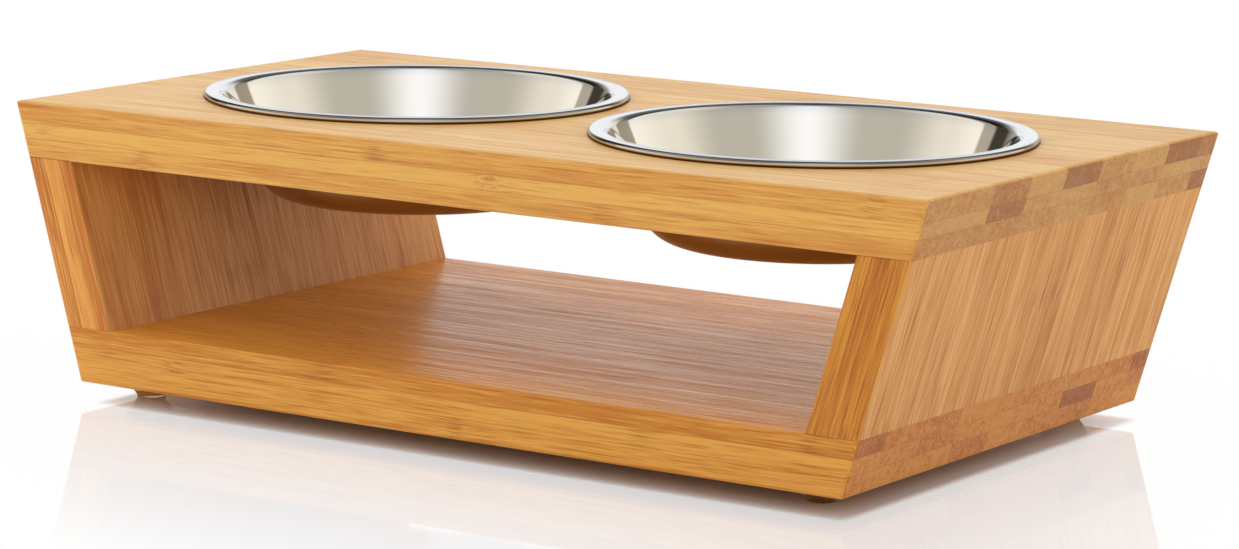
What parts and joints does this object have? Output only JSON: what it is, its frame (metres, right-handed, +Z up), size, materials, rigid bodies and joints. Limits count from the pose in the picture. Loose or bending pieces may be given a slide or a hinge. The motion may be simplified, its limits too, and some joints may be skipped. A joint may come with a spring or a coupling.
{
  "type": "elevated pet feeder",
  "caption": "Raised bamboo pet feeder: lift-out steel bowls hang by their rims in a deck, over an open storage bay with leaning sides, on clear rubber feet.",
  "frame": {"origin": "on the floor under the middle of the feeder, level with the undersides of its feet", "axes": "+X along the feeder's length from the left bowl to the right bowl, +Y from the front to the rear, +Z up"},
  "size_m": [0.389, 0.209, 0.1107],
  "materials": {
    "bamboo": "satin lacquer on laminated bamboo, grain along each board",
    "steel": "mirror-polished rim, satin inside and below",
    "clear_rubber": "clear, smooth",
    "dowel_wood": "plain, unfinished"
  },
  "bodies": {
    "stand": {"top_board": "bamboo", "base_board": "bamboo", "left_side": "bamboo", "right_side": "bamboo", "foot_front_left": "clear_rubber", "foot_front_right": "clear_rubber", "foot_rear_left": "clear_rubber", "foot_rear_right": "clear_rubber", "top_left_dowels": "dowel_wood", "top_right_dowels": "dowel_wood", "base_left_dowels": "dowel_wood", "base_right_dowels": "dowel_wood"},
    "left_bowl": {"left_bowl": "steel"},
    "right_bowl": {"right_bowl": "steel"}
  },
  "joints": [
    {"name": "left_bowl_lift", "type": "slide", "parent": "stand", "child": "left_bowl", "axis": [0, 0, 1], "range_m": [0, 0.08]},
    {"name": "right_bowl_lift", "type": "slide", "parent": "stand", "child": "right_bowl", "axis": [0, 0, 1], "range_m": [0, 0.08]}
  ]
}
